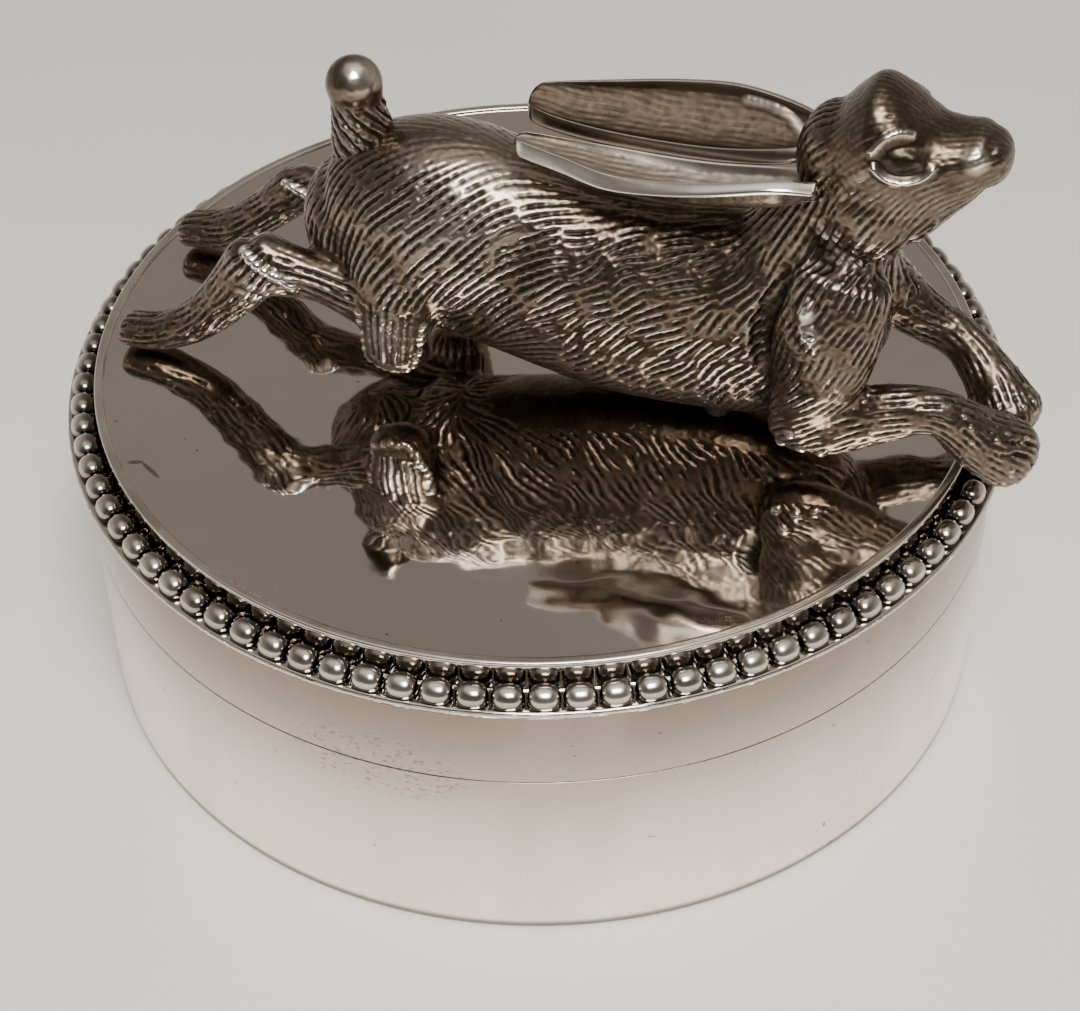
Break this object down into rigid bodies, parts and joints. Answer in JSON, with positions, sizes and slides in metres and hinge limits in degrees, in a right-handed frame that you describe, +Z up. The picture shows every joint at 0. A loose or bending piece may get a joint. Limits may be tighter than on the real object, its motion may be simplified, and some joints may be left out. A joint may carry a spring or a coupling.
{
  "type": "keepsake box",
  "caption": "Round silver-plated keepsake box for baby teeth, with flush walls, a bead-edged lift-off lid and a cast hare running across its mirror top.",
  "frame": {"origin": "centre of the flat underside that the box stands on", "axes": "+Z up along the axis of the round box, -Y towards the side that the box is seen from, so the hare runs towards +X"},
  "size_m": [0.0647, 0.064, 0.0491],
  "materials": {
    "bright_silver": "polished silver plate",
    "mirror_silver": "mirror-polished silver plate",
    "dull_silver": "satin silver plate",
    "cast_silver": "cast and oxidised silver plate, worn bright on the high spots"
  },
  "bodies": {
    "base": {"base_band": "bright_silver", "base_floor": "dull_silver", "base_collar": "dull_silver"},
    "lid": {"lid_band": "bright_silver", "lid_plate": "mirror_silver", "lid_fillet_wire": "bright_silver", "bead_border": "bright_silver", "hare_body": "cast_silver", "hare_ear_left": "cast_silver", "hare_ear_right": "cast_silver", "hare_tail": "cast_silver", "hare_screw": "dull_silver", "hare_screw_washer": "dull_silver"}
  },
  "joints": [
    {"name": "lid_lift", "type": "slide", "parent": "base", "child": "lid", "axis": [0, 0, 1], "range_m": [0, 0.03]}
  ]
}
